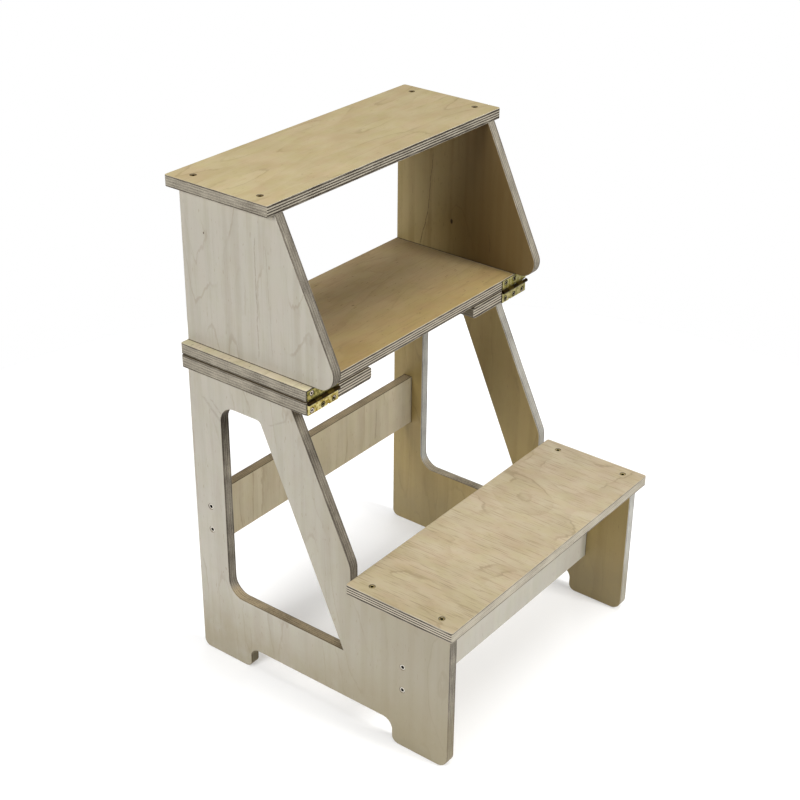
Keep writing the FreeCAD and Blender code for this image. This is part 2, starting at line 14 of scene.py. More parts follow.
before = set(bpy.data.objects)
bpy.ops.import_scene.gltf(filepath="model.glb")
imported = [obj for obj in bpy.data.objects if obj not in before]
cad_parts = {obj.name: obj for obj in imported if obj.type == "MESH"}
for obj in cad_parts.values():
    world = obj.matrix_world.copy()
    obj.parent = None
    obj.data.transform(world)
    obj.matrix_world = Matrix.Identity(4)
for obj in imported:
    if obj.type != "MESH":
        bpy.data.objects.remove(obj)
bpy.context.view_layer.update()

logging.basicConfig(level=logging.INFO, format="%(name)s: %(message)s")
log = logging.getLogger("step stool")

MM = 1000.0
WHITE = "FFFFFF"
# What the nodes of a smooth step, a mixed colour and a tint have set
SMOOTH = {"interpolation_type": "SMOOTHSTEP"}
COLOUR = {"data_type": "RGBA"}
TINT = {"data_type": "RGBA", "blend_type": "MULTIPLY"}
# A smooth step that falls from 1 to 0, not the other way
FALLING = (1.0, 0.0)
# How far apart two whole numbers may be for a node to take them as the same
SAME = 0.5

Node = bpy.types.Node
AddNode = Callable[..., Node]
Reach = tuple[float, float]


class Axis(Enum):
    """An axis of the stool: X along the steps, Y from front to rear, Z up."""

    X = 0
    Y = 1
    Z = 2


def linear(colour: str) -> tuple[float, float, float, float]:
    """Turn an sRGB hex colour into the linear colour that a socket takes.

    Args:
        colour: Six hex digits.

    Returns:
        Red, green, blue and alpha.
    """
    parts = [int(colour[i:i + 2], 16) / 255 for i in (0, 2, 4)]
    red, green, blue = (p / 12.92 if p <= 0.04045 else ((p + 0.055) / 1.055) ** 2.4 for p in parts)
    return (red, green, blue, 1.0)


def add_node(tree: bpy.types.NodeTree, kind: str, inputs: Any = (), **settings: Any) -> Node:
    """Add one node, with its settings, and link or set its inputs.

    Args:
        tree: The node tree that gets it.
        kind: The node's type name, without the leading ShaderNode.
        inputs: What its sockets get, in order or by number or name: a value, a hex colour, a
            socket, or a node, which gives its first output in use.
        settings: Properties of the node.

    Returns:
        The node.
    """
    node = tree.nodes.new(f"ShaderNode{kind}")
    for name, value in settings.items():
        setattr(node, name, value)
    for place, value in (inputs.items() if isinstance(inputs, dict) else enumerate(inputs)):
        if isinstance(value, Node):
            value = next(output for output in value.outputs if output.enabled)
        if isinstance(value, bpy.types.NodeSocket):
            tree.links.new(value, node.inputs[place])
        else:
            node.inputs[place].default_value = linear(value) if isinstance(value, str) else value
    return node


def new_material(name: str) -> tuple[bpy.types.Material, AddNode]:
    """Make an empty material.

    Args:
        name: The material's name.

    Returns:
        The material, and what adds a node to it.
    """
    material = bpy.data.materials.new(name)
    material.use_nodes = True
    material.node_tree.nodes.clear()
    return material, partial(add_node, material.node_tree)


def surface(add: AddNode) -> tuple[Node, Any, Any]:
    """Read where a point of the surface is and which way it looks.

    Args:
        add: Adds a node to the material.

    Returns:
        Its place in millimetres, the place's X, Y and Z, and the normal's X, Y and Z.
    """
    coordinates = add("TexCoord")
    point = add("VectorMath", {0: coordinates.outputs["Object"], "Scale": MM}, operation="SCALE")
    normal = coordinates.outputs["Normal"]
    return point, add("SeparateXYZ", (point,)).outputs, add("SeparateXYZ", (normal,)).outputs


def within(add: AddNode, value: Any, reach: Reach, margin: float, fade: float) -> Node:
    """Find whether a value lies in a range with soft ends.

    Args:
        add: Adds a node to the material.
        value: The value.
        reach: Where the range begins and ends.
        margin: How far outside these it is still full.
        fade: Over how much more it fades away.

    Returns:
        1 inside, 0 outside.
    """
    low, high = reach[0] - margin, reach[1] + margin
    rise = add("MapRange", (value, low - fade, low), **SMOOTH)
    fall = add("MapRange", (value, high, high + fade, *FALLING), **SMOOTH)
    return add("Math", (rise, fall), operation="MULTIPLY")


@dataclass(frozen=True)
class Mottle:
    """Soft random marks of one size.

    Attributes:
        size: Their size along the three directions of the place they are read at.
        offset: Moves them in the third direction, for another pattern.
        detail: Number of finer layers.
        roughness: Strength of the finer layers.
        rise: Between which values of the pattern, which lie around 0.5, the marks come up.
    """

    size: tuple[float, float, float]
    offset: float = 0.0
    detail: float = 2.0
    roughness: float = 0.5
    rise: Reach = (0.3, 0.7)

    def at(self, add: AddNode, place: Any) -> Node:
        """Read the pattern at a place.

        Args:
            add: Adds a node to the material.
            place: The place, as a vector.

        Returns:
            A value around 0.5.
        """
        scale = tuple(1.0 / part for part in self.size)
        vector = add("VectorMath", (place, scale, (0.0, 0.0, self.offset)),
                     operation="MULTIPLY_ADD")
        return add("TexNoise", {"Vector": vector, "Scale": 1.0, "Detail": self.detail,
                                "Roughness": self.roughness})

    def spots(self, add: AddNode, place: Any, low: float = 0.0, high: float = 1.0) -> Node:
        """Read how far the marks have come up at a place.

        Args:
            add: Adds a node to the material.
            place: The place, as a vector.
            low: What it gives between the marks.
            high: What it gives on them.

        Returns:
            A value from low to high.
        """
        return add("MapRange", (self.at(add, place), *self.rise, low, high), **SMOOTH)


def measure(name: str) -> dict[Axis, Reach]:
    """Measure how far a CAD node reaches along each axis.

    Args:
        name: The node's name.

    Returns:
        For each axis, where the node begins and ends, in millimetres.
    """
    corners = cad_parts[name].bound_box
    return {axis: (min(corner[axis.value] for corner in corners) * MM,
                   max(corner[axis.value] for corner in corners) * MM) for axis in Axis}


def middle(reach: Reach) -> float:
    """Find the middle of a reach."""
    return sum(reach) / 2


def dress(name: str, material: bpy.types.Material) -> None:
    """Give a CAD node its finish.

    Args:
        name: The node's name.
        material: What its slots get.
    """
    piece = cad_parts[name]
    for slot in piece.material_slots:
        slot.material = material
    log.info("%s is %s", name, material.name)


@dataclass(frozen=True)
class Knot:
    """A pin knot in a face veneer.

    Attributes:
        along: Place along the grain, in millimetres.
        across: Place across the grain, in millimetres.
        radius: Radius of its dark eye, in millimetres.
        swirl: How many growth lines bend round it.
        side: The face it is on: 1 for the one that looks along the axis, -1 for the other.
    """

    along: float
    across: float
    radius: float = 2.2
    swirl: float = 0.8
    side: int = 1

    # The eye is dark within the first share of its radius, and gone past the second
    EYE = (0.5, 1.3)
    # How much a millimetre along the grain counts, and how far off lines still bend, in mm
    STRETCH = 0.55
    BEND = 24.0


@dataclass(frozen=True)
class GrainLine:
    """A single dark growth line that stands out of a face veneer.

    Attributes:
        start: Its place along and across the grain where it begins, in millimetres.
        end: The same where it ends, further along the grain.
        depth: How dark it is, from 0 to 1.
        width: Its width, in millimetres.
        side: The face it is on, as for a knot.
    """

    start: tuple[float, float]
    end: tuple[float, float]
    depth: float = 0.5
    width: float = 0.9
    side: int = 1

    # How far lines sway from their course, in millimetres, and what is left in a break
    SWAY = 5.0
    BREAK = 0.25
    # From which share of its length a line is full, and the share over which it fades
    INSET = 0.06
    TAPER = 0.1


@dataclass(frozen=True)
class Joint:
    """Where another piece meets a face: the dark line round its foot, dusty and in painted shadow.

    Attributes:
        along: Where the other piece begins and ends along the grain, in millimetres.
        across: The same across the grain.
        side: The face it is on, as for a knot.
    """

    along: Reach
    across: Reach
    side: int = 1

    # How far outside the other piece it is still full, and how far on it fades, in millimetres
    MARGIN = 0.2
    FADE = 1.1


@dataclass(frozen=True)
class BirchPlywood:
    """Sanded birch plywood with a matt lacquer.

    The faces are rotary-cut veneer: pale, softly blotched, with a silky ripple, faint
    jagged growth lines and straight streaks. The edges show the plies: those sawn along
    their grain are pale and smooth, those sawn across it dark and open.

    Attributes:
        name: The material's name.
        board: The CAD node that is cut from it.
        grain: The axis along which the face veneers' grain runs.
        thin: The axis of the board's thickness.
        seed: Picks another sheet of veneer.
        front_tones: Light and dark tone of the face that looks along the thin axis.
        back_tones: Light and dark tone of the other face.
        figure: Length and width of the figure, in millimetres.
        lines: Strength of the growth lines.
        streaks: Strength of the straight streaks.
        fibres: Strength of the fine fibres.
        dashes: Darkness of the short dashes along the grain.
        flecks: Darkness of the few small flecks.
        blotches: Strength of the soft blotches.
        stripes: How dark the cross plies stand on the edges sawn along the face grain.
        edge_tone: How dark those edges are between them.
        long_grain: The light tone of all edges.
        end_tone: How dark the edges sawn across the face grain are.
        end_tint: The tint of those edges.
        soil_and_shade: Height up to which the feet are soiled and darkened as painted shade, in
        millimetres, or 0 for none.
        forward_shade: Painted shade: how much darker and yellower the front and the back face get
            towards -Y.
        forward_shade_tone: The tone it takes there.
        forward_shade_fade: From where to where the painted shade fades, in millimetres.
        shade_tints: Two tints of painted shade on the front face, one on each side across the
            grain.
        fade: From where to where the first gives way to the second, in millimetres.
        span: How far along the grain from the middle they reach, in millimetres.
        knots: The knots that show.
        grain_lines: The single dark lines that show.
        joints: Where other pieces stand on it.
        bored: How far in from the board's edges sawn walls are the walls of screw holes, painted
        dark as shade, in millimetres, or 0 where it has none.
    """

    name: str
    board: str
    grain: Axis
    thin: Axis
    seed: float
    front_tones: tuple[str, str] = ("AFA17E", "9B8A64")
    back_tones: tuple[str, str] = ("AFA17E", "9B8A64")
    figure: tuple[float, float] = (260.0, 60.0)
    lines: float = 1.0
    streaks: float = 0.05
    fibres: float = 0.15
    dashes: float = 0.06
    flecks: float = 0.3
    blotches: float = 0.5
    stripes: float = 0.85
    edge_tone: float = 0.1
    long_grain: str = "B4AC9A"
    end_tone: float = 0.6
    end_tint: str = WHITE
    soil_and_shade: float = 0.0
    forward_shade: tuple[float, float] = (0.0, 0.0)
    forward_shade_tone: str = "82775A"
    forward_shade_fade: Reach = (-180.0, 110.0)
    shade_tints: tuple[str, str] = (WHITE, WHITE)
    fade: Reach = (0.0, 130.0)
    span: float = 206.0
    knots: tuple[Knot, ...] = ()
    grain_lines: tuple[GrainLine, ...] = ()
    joints: tuple[Joint, ...] = ()
    bored: float = 0.0

    PORE = "6A5638"
    KNOT = "3E2A16"
    DUST_AND_SHADE = "3A2C18"
    SOIL_AND_SHADE_TONE = "85795A"
    END_GRAIN = "342B20"
    GLUE = "2A1E12"

    # The marks of the faces: their length and width in millimetres, then the sheet
    JAGS = Mottle((30.0, 9.0, 1.0), detail=3.0, roughness=0.6)
    SHOWN = Mottle((90.0, 40.0, 1.0), 4.4, rise=(0.42, 0.6))
    # Pores and fibres are a tenth of a millimetre wide, too fine to show: drawn at 1.4 mm
    FIBRES = Mottle((48.0, 1.4, 1.0), 2.9, detail=3.0, roughness=0.65)
    DASHES = Mottle((42.0, 1.7, 1.0), 6.1, roughness=0.6, rise=(0.55, 0.67))
    DASH_SWAY = Mottle((30.0, 14.0, 1.0), 3.3)
    RIPPLE = Mottle((9.0, 16.0, 1.0), 5.3)
    BLOTCHES = Mottle((60.0, 38.0, 1.0), 9.1)
    STREAKS = Mottle((700.0, 13.0, 1.0), 7.7, detail=3.0, roughness=0.45, rise=(0.32, 0.68))
    FLECKS = Mottle((9.0, 1.8, 1.0), 2.2, detail=0.0, rise=(0.76, 0.84))
    # A blush and a green, each in patches of its own
    HUES = (("FFF3F6", Mottle((42.0, 24.0, 1.0), 12.6, 4.0, 0.6, (0.42, 0.62))),
            ("F8FBE6", Mottle((36.0, 20.0, 1.0), 15.2, 4.0, 0.6, (0.42, 0.62))))
    SMUDGES = Mottle((30.0, 22.0, 1.0), detail=4.0, roughness=0.65, rise=(-0.3, 0.7))
    LINE_SWAY = Mottle((22.0, 1.0, 1.0))
    LINE_BREAKS = Mottle((6.0, 1.0, 1.0), rise=(0.3, 0.55))

    # How far the front's and the back's sheets lie to both sides of the seed
    SHEETS = 3.7
    # How many growth rings the figure spans, and how many of them the jags move it
    RINGS = 7.0
    JAGGED = 0.4
    # Where in a ring its late wood, and its thin dark end, begin, are full and begin to end
    LATE_WOOD = (0.2, 0.92, 0.94)
    RING_END = (0.86, 0.93, 0.95)
    # How strongly each shows at its full strength
    LATE_SHARE = 0.2
    RIPPLE_SHARE = 0.2
    BLOTCH_SHARE = 0.42
    HUE_SHARE = 0.45
    RING_END_SHARE = 0.34
    DUST_AND_SHADE_SHARE = 0.85
    # The value of the fine patterns that leaves the veneer's tone as it is
    MEAN = 0.45
    # How many of their widths the dashes sway
    DASH_SWING = 0.8
    # Over how many millimetres the painted shade tints end
    SHADE_TINT_END = 4.0
    # From where to where past its beginning the painted shade grows full, and its share before
    FORWARD_SHADE_RISE = (-10.0, 50.0)
    FORWARD_SHADE_START = 0.91
    # How much of the relief is ripple, the rest being fibres
    RIPPLE_HEIGHT = 0.4

    PLIES = 9
    # How far the glue lines waver, in plies
    WAVERING = 0.3
    # How far from its middle a cross ply begins to end and has ended, in plies
    CROSS_PLY = (0.30, 0.62)
    # How many plies from the mid-plane the outermost glue lines lie, and where their dark
    # begins and has ended on both sides
    GLUED = PLIES / 2 - 0.8
    GLUE_LINE = (0.15, 0.42)
    # The marks of the edges, the last size through the thickness
    WAVER = Mottle((60.0, 60.0, 1.0))
    PATCHES = Mottle((34.0, 34.0, 1.0 / 2.7), roughness=0.6, rise=(0.25, 0.6))
    # The open ends of the fibres are far below a millimetre: drawn as 1.6 mm speckle
    SPECKLE = Mottle((1.6, 1.6, 1.2), roughness=0.6)
    STRANDS = Mottle((26.0, 26.0, 1.3), roughness=0.6, rise=(0.35, 0.6))
    STAINS = Mottle((45.0, 45.0, 30.0), roughness=0.6)
    # How strong speckle, strands and stains are along the grain, how much more so where
    # the stripes are full, and how strong across the grain
    EDGE_SHARES = ((0.4, 0.0, 0.65), (0.55, 0.5, 0.5), (0.6, 0.0, 0.6))
    # How uneven the stripes are, and how far cross plies shift the tone across the grain
    UNEVEN = (0.7, 1.1)
    SQUARE_SHIFT = -0.13
    # The shades that the light and the dark tone stand for
    SHADES = (-0.05, 1.05)
    # How dark the glue lines are where they are faint, and the painted shade on screw holes' walls
    GLUE_FAINT = 0.5
    BORE_SHADE_SHARE = 0.8
    SPECKLE_HEIGHT = 0.6
    CROSS_PLY_HEIGHT = -0.4

    # How far a normal lies along the thickness where edges end and faces begin, and along
    # the grain where the edges along it end and those across it begin
    FACING = (0.72, 0.80)
    TURNED = (0.3, 0.8)
    # Up to which share of the height soiling and painted shade are full, and their strength there
    SOIL_AND_SHADE_FULL = 0.2
    SOIL_AND_SHADE_SHARE = 0.6
    # Roughness of the edges and of the lacquered faces, and the depth of both in metres
    ROUGHNESS = (0.8, 0.55)
    RELIEF = {"Strength": 0.3, "Distance": 0.0002}

    def make(self) -> bpy.types.Material:
        """Build the material.

        Returns:
            The material, for its board.
        """
        material, add = new_material(self.name)
        box = measure(self.board)
        _, place, normal = surface(add)
        cross = Axis(3 - self.grain.value - self.thin.value)
        along, across = place[self.grain.value], place[cross.value]
        depth = add("Math", (place[self.thin.value], middle(box[self.thin])),
                    operation="SUBTRACT")
        facing = add("Math", (normal[self.thin.value],), operation="ABSOLUTE")
        looks_along = add("Math", (normal[self.grain.value],), operation="ABSOLUTE")
        face, face_bump = self._face(add, along, across, add("Math", (depth,), operation="SIGN"))
        edge, edge_bump = self._edge(add, along, across, depth, looks_along)
        # Painted shade: sawn walls further in than the edges, those of the screw holes, go dark
        if self.bored:
            hole_shade: Any = self.BORE_SHADE_SHARE
            for value, (low, high) in ((along, box[self.grain]), (across, box[cross])):
                inner = within(add, value, (low + self.bored, high - self.bored), 0.0, 1.0)
                hole_shade = add("Math", (hole_shade, inner), operation="MULTIPLY")
            edge = add("Mix", {0: hole_shade, 6: edge, 7: self.DUST_AND_SHADE}, **COLOUR)
        share = add("MapRange", (facing, *self.FACING), **SMOOTH)
        colour = add("Mix", {0: share, 6: edge, 7: face}, **COLOUR)
        # Soiling and painted shade: darker and greyer towards the feet, in smudges
        if self.soil_and_shade:
            smudge = self.SMUDGES.spots(add, add("CombineXYZ", (along, across, self.seed)))
            low = add("MapRange", (along, self.soil_and_shade * self.SOIL_AND_SHADE_FULL, self.soil_and_shade,
                                   self.SOIL_AND_SHADE_SHARE, 0.0), **SMOOTH)
            dirt_and_shade = add("Math", (low, smudge), operation="MULTIPLY")
            colour = add("Mix", {0: dirt_and_shade, 6: colour, 7: self.SOIL_AND_SHADE_TONE}, **COLOUR)
        height = add("Mix", {0: share, 2: edge_bump, 3: face_bump})
        bump = add("Bump", {**self.RELIEF, "Height": height})
        roughness = add("MapRange", (share, 0.0, 1.0, *self.ROUGHNESS), **SMOOTH)
        add("OutputMaterial", (add("BsdfPrincipled", {
            "Base Color": colour, "Roughness": roughness, "Normal": bump}),))
        return material

    def _knots(self, add: AddNode, along: Any, across: Any, side: Node) -> tuple[Any, Any]:
        """Find how near the place is to a knot.

        Args:
            add: Adds a node to the material.
            along: Place along the grain, in millimetres.
            across: Place across the grain, in millimetres.
            side: 1 on the front face, -1 on the back.

        Returns:
            How far the growth lines bend round it, and how much of its eye shows.
        """
        swirl: Any = 0.0
        eyes: Any = 0.0
        for knot in self.knots:
            here = add("Math", (side, float(knot.side), SAME), operation="COMPARE")
            length = add("Math", (along, knot.STRETCH), operation="MULTIPLY")
            centre = (knot.along * knot.STRETCH, knot.across, 0.0)
            away = add("VectorMath", (add("CombineXYZ", (length, across)), centre),
                       operation="DISTANCE")
            bend = add("MapRange", (away, 0.0, knot.BEND, knot.swirl, 0.0), **SMOOTH)
            swirl = add("Math", (here, bend, swirl), operation="MULTIPLY_ADD")
            full, gone = (knot.radius * share for share in knot.EYE)
            eye = add("MapRange", (away, full, gone, *FALLING), **SMOOTH)
            eye = add("Math", (here, eye), operation="MULTIPLY")
            eyes = add("Math", (eyes, eye), operation="MAXIMUM")
        return swirl, eyes

    def _marks(self, add: AddNode, along: Any, across: Any, side: Node) -> tuple[Any, Any]:
        """Draw the single dark lines and the joints.

        Args:
            add: Adds a node to the material.
            along: Place along the grain, in millimetres.
            across: Place across the grain, in millimetres.
            side: 1 on the front face, -1 on the back.

        Returns:
            The darkness of the lines, and that of the joints.
        """
        lines: Any = 0.0
        swing = GrainLine.SWAY
        sway = self.LINE_SWAY.at(add, add("CombineXYZ", (along, self.seed)))
        sway = add("Math", (sway, swing, -swing / 2), operation="MULTIPLY_ADD")
        for line in self.grain_lines:
            (start, first), (end, last) = line.start, line.end
            course = add("MapRange", (along, start, end, first, last), clamp=False)
            course = add("Math", (course, sway), operation="ADD")
            aside = add("Math", (across, course), operation="SUBTRACT")
            aside = add("Math", (aside,), operation="ABSOLUTE")
            near = add("MapRange", (aside, 0.0, line.width, line.depth, 0.0), **SMOOTH)
            length = end - start
            ends = within(add, along, (start, end), -line.INSET * length, line.TAPER * length)
            breaks = self.LINE_BREAKS.spots(add, add("CombineXYZ", (along, first)), line.BREAK)
            mark: Any = add("Math", (side, float(line.side), SAME), operation="COMPARE")
            for part in (near, ends, breaks):
                mark = add("Math", (mark, part), operation="MULTIPLY")
            lines = add("Math", (lines, mark), operation="MAXIMUM")
        dust_and_shade: Any = 0.0
        for joint in self.joints:
            mark = add("Math", (side, float(joint.side), SAME), operation="COMPARE")
            for value, reach in ((along, joint.along), (across, joint.across)):
                mark = add("Math", (mark, within(add, value, reach, joint.MARGIN, joint.FADE)),
                           operation="MULTIPLY")
            dust_and_shade = add("Math", (dust_and_shade, mark), operation="MAXIMUM")
        return lines, dust_and_shade

    def _tone(self, add: AddNode, point: Node, swirl: Any, fibres: Node,
              ripple: Node) -> tuple[Node, Node]:
        """Draw what all the veneer shows: growth rings, streaks and blotches.

        Args:
            add: Adds a node to the material.
            point: Place along and across the grain and the sheet, as a vector.
            swirl: How far the growth lines bend round knots.
            fibres: The fine fibres.
            ripple: The silky ripple.

        Returns:
            How far the tone lies towards the dark one, and the dark ends of the rings.
        """
        figure = Mottle((*self.figure, 1.0), 1.4, detail=1.0, roughness=0.3)
        growth = add("Math", (figure.at(add, point), self.RINGS, swirl),
                     operation="MULTIPLY_ADD")
        growth = add("Math", (self.JAGS.at(add, point), self.JAGGED, growth),
                     operation="MULTIPLY_ADD")
        ring = add("Math", (growth,), operation="FRACT")
        late, thin = (add("Math", (add("MapRange", (ring, begin, full), **SMOOTH),
                                   add("MapRange", (ring, end, 1.0, *FALLING), **SMOOTH)),
                          operation="MULTIPLY")
                      for begin, full, end in (self.LATE_WOOD, self.RING_END))
        blotches, streaks = self.BLOTCHES.spots(add, point), self.STREAKS.spots(add, point)
        tone: Any = -self.MEAN * (self.fibres + self.RIPPLE_SHARE + self.streaks)
        for part, strength in ((blotches, self.blotches * self.BLOTCH_SHARE),
                               (late, self.lines * self.LATE_SHARE), (fibres, self.fibres),
                               (ripple, self.RIPPLE_SHARE), (streaks, self.streaks)):
            tone = add("Math", (part, strength, tone), operation="MULTIPLY_ADD")
        return tone, thin

    def _face(self, add: AddNode, along: Any, across: Any, side: Node) -> tuple[Node, Node]:
        """Draw the face veneers.

        Args:
            add: Adds a node to the material.
            along: Place along the grain, in millimetres.
            across: Place across the grain, in millimetres.
            side: 1 on the front face, -1 on the back.

        Returns:
            The colour, and the height for the bump.
        """
        sheet = add("Math", (side, self.SHEETS, self.seed), operation="MULTIPLY_ADD")
        point = add("CombineXYZ", (along, across, sheet))
        swirl, eyes = self._knots(add, along, across, side)
        lines, dust_and_shade = self._marks(add, along, across, side)
        fibres, ripple = self.FIBRES.at(add, point), self.RIPPLE.at(add, point)
        tone, thin = self._tone(add, point, swirl, fibres, ripple)
        front, back = (add("Mix", {0: tone, 6: light, 7: dark}, **COLOUR)
                       for light, dark in (self.front_tones, self.back_tones))
        ahead = add("Math", (side, 1.0, SAME), operation="COMPARE")
        colour = add("Mix", {0: ahead, 6: back, 7: front}, **COLOUR)
        # Painted shade: within the span the front face takes the two tints
        from_middle = add("Math", (along,), operation="ABSOLUTE")
        between = add("MapRange", (from_middle, self.span - self.SHADE_TINT_END / 2,
                                   self.span + self.SHADE_TINT_END / 2, *FALLING), **SMOOTH)
        between = add("Math", (between, ahead), operation="MULTIPLY")
        given_way = add("MapRange", (across, *self.fade), **SMOOTH)
        shade_tints = add("Mix", {0: given_way, 6: self.shade_tints[0], 7: self.shade_tints[1]}, **COLOUR)
        colour = add("Mix", {0: between, 6: colour, 7: shade_tints}, **TINT)
        for hue, patches in self.HUES:
            share = patches.spots(add, point, 0.0, self.blotches * self.HUE_SHARE)
            colour = add("Mix", {0: share, 6: colour, 7: hue}, **TINT)
        shown = self.SHOWN.spots(add, point, 0.0, self.lines * self.RING_END_SHARE)
        dark = add("Math", (thin, shown), operation="MULTIPLY")
        swayed = add("Math", (self.DASH_SWAY.at(add, point),
                              self.DASH_SWING * self.DASHES.size[1], across),
                     operation="MULTIPLY_ADD")
        swayed = add("CombineXYZ", (along, swayed, sheet))
        for marks, spot, strength in ((self.FLECKS, point, self.flecks),
                                      (self.DASHES, swayed, self.dashes)):
            dark = add("Math", (dark, marks.spots(add, spot, 0.0, strength)),
                       operation="MAXIMUM")
        colour = add("Mix", {0: dark, 6: colour, 7: self.PORE}, **COLOUR)
        # Painted shade: darker and yellower towards -Y
        if any(self.forward_shade):
            begin, end = self.forward_shade_fade
            forward_shade = add("Mix", {0: ahead, 2: self.forward_shade[1], 3: self.forward_shade[0]})
            rise = (begin + self.FORWARD_SHADE_RISE[0], begin + self.FORWARD_SHADE_RISE[1], self.FORWARD_SHADE_START, 1.0)
            for reach in ((begin, end, *FALLING), rise):
                part = add("MapRange", (across, *reach), **SMOOTH)
                forward_shade = add("Math", (forward_shade, part), operation="MULTIPLY")
            colour = add("Mix", {0: forward_shade, 6: colour, 7: self.forward_shade_tone}, **COLOUR)
        lines = add("Math", (eyes, lines), operation="MAXIMUM")
        colour = add("Mix", {0: lines, 6: colour, 7: self.KNOT}, **COLOUR)
        # Dusty joints and seam rims in painted shadow
        dust_and_shade = add("Math", (dust_and_shade, self.DUST_AND_SHADE_SHARE), operation="MULTIPLY")
        colour = add("Mix", {0: dust_and_shade, 6: colour, 7: self.DUST_AND_SHADE}, **COLOUR)
        return colour, add("Mix", {0: self.RIPPLE_HEIGHT, 2: fibres, 3: ripple})

    def _edge(self, add: AddNode, along: Any, across: Any, depth: Node,
              looks_along: Node) -> tuple[Node, Node]:
        """Draw the plies on the sawn edges.

        Args:
            add: Adds a node to the material.
            along: Place along the face grain, in millimetres.
            across: Place across the face grain, in millimetres.
            depth: Place through the thickness from the mid-plane, in millimetres.
            looks_along: How far the edge's normal lies along the face grain.

        Returns:
            The colour, and the height for the bump.
        """
        low, high = measure(self.board)[self.thin]
        point = add("CombineXYZ", (along, across, depth))
        waver = self.WAVER.at(add, add("CombineXYZ", (along, across, self.seed)))
        level = add("Math", (depth, self.PLIES / (high - low), (self.PLIES - self.WAVERING) / 2),
                    operation="MULTIPLY_ADD")
        level = add("Math", (waver, self.WAVERING, level), operation="MULTIPLY_ADD")
        number = add("Math", (level,), operation="FLOOR")
        # 0 in the middle of a cross ply, 1 in the middle of one whose grain is the face's
        turn = add("Math", (level, 0.5), operation="ADD")
        turn = add("Math", (turn, 1.0), operation="PINGPONG")
        cross_ply = add("MapRange", (turn, *self.CROSS_PLY, *FALLING), **SMOOTH)
        uneven = self.PATCHES.spots(add, add("CombineXYZ", (along, across, number)),
                                    *(share * self.stripes for share in self.UNEVEN))
        parallel = add("Math", (cross_ply, uneven, self.edge_tone), operation="MULTIPLY_ADD")
        square = add("Math", (cross_ply, self.SQUARE_SHIFT, self.end_tone),
                     operation="MULTIPLY_ADD")
        turned = add("MapRange", (looks_along, *self.TURNED), **SMOOTH)
        shade = add("Mix", {0: turned, 2: parallel, 3: square})
        speckle = self.SPECKLE.at(add, point)
        parts = (speckle, self.STRANDS.at(add, point), self.STAINS.at(add, point))
        for part, (beside, striped, at_end) in zip(parts, self.EDGE_SHARES):
            part = add("Math", (part, 0.5), operation="SUBTRACT")
            strength = add("MapRange", (turned, 0.0, 1.0, beside + striped * self.stripes,
                                        at_end), **SMOOTH)
            shade = add("Math", (part, strength, shade), operation="MULTIPLY_ADD")
        shade = add("MapRange", (shade, *self.SHADES), **SMOOTH)
        colour = add("Mix", {0: shade, 6: self.long_grain, 7: self.END_GRAIN}, **COLOUR)
        colour = add("Mix", {0: turned, 6: colour, 7: self.end_tint}, **TINT)
        outer = add("Math", (level, self.PLIES / 2), operation="SUBTRACT")
        outer = add("Math", (outer,), operation="ABSOLUTE")
        off = add("Math", (outer, self.GLUED), operation="SUBTRACT")
        off = add("Math", (off,), operation="ABSOLUTE")
        glue = add("MapRange", (off, *self.GLUE_LINE, *FALLING), **SMOOTH)
        glue = add("Math", (glue, self.STRANDS.spots(add, point, self.GLUE_FAINT)),
                   operation="MULTIPLY")
        colour = add("Mix", {0: glue, 6: colour, 7: self.GLUE}, **COLOUR)
        sunk = add("Math", (cross_ply, self.CROSS_PLY_HEIGHT), operation="MULTIPLY")
        return colour, add("Math", (speckle, self.SPECKLE_HEIGHT, sunk),
                           operation="MULTIPLY_ADD")


